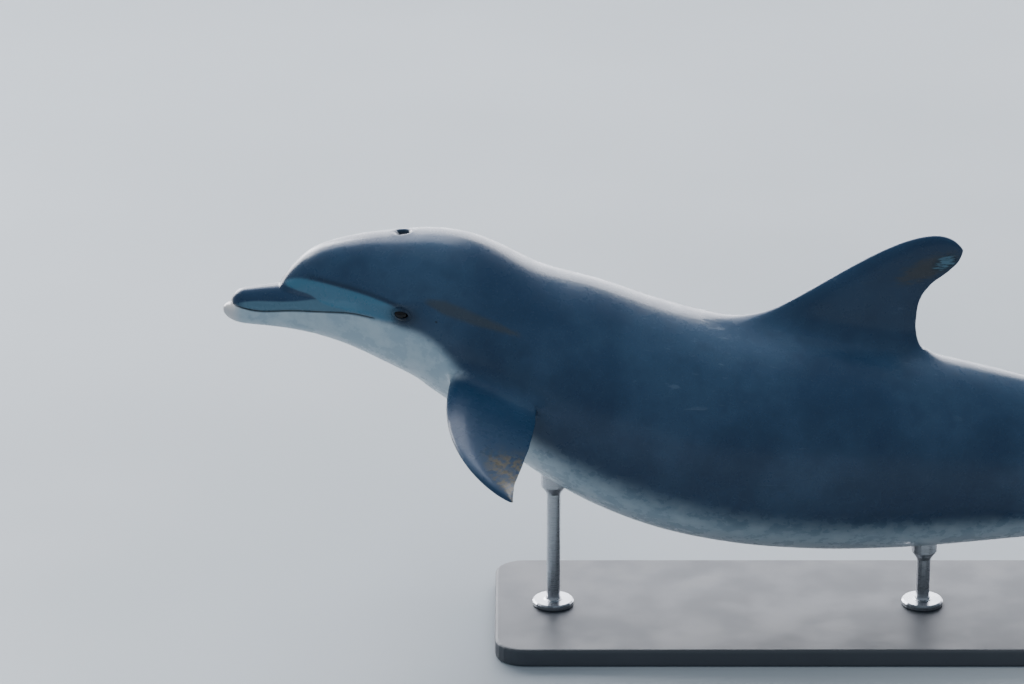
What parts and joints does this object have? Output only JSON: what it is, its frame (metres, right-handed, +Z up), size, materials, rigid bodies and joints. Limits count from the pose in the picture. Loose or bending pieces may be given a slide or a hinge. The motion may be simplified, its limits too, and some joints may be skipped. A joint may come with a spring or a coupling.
{
  "type": "bottlenose dolphin display model",
  "caption": "Life-size still bottlenose dolphin, head lifted, flippers spread, held by two rods over a flat display base.",
  "frame": {"origin": "middle of the model's outer box at the level of the stand's underside", "axes": "+X from the snout to the tail, +Z up, the dolphin's left side faces -Y"},
  "size_m": [2.4998, 1.0446, 0.8347],
  "materials": {
    "skin": "wet dark slate-blue skin, smooth, faintly scratched",
    "skin_pale": "wet pale grey skin of throat and belly",
    "fin_skin": "wet dark slate skin, brown and scuffed at the dorsal fin's tip",
    "eye": "glossy near-black eyeball with a dark brown iris",
    "stand_board": "satin charcoal powder coat",
    "stand_metal": "turned and brushed steel"
  },
  "bodies": {
    "root": {"beak_upper": "skin", "jaw_lower": "skin_pale", "melon": "skin", "head": "skin", "neck": "skin", "trunk_front": "skin", "trunk_rear": "skin", "tail_stock": "skin", "dorsal_fin": "fin_skin", "flipper_left": "fin_skin", "flipper_right": "fin_skin", "fluke_left": "fin_skin", "fluke_right": "fin_skin", "eye_left": "eye", "eye_right": "eye", "stand_base": "stand_board", "stand_rod_front": "stand_metal", "stand_rod_rear": "stand_metal"}
  },
  "joints": []
}
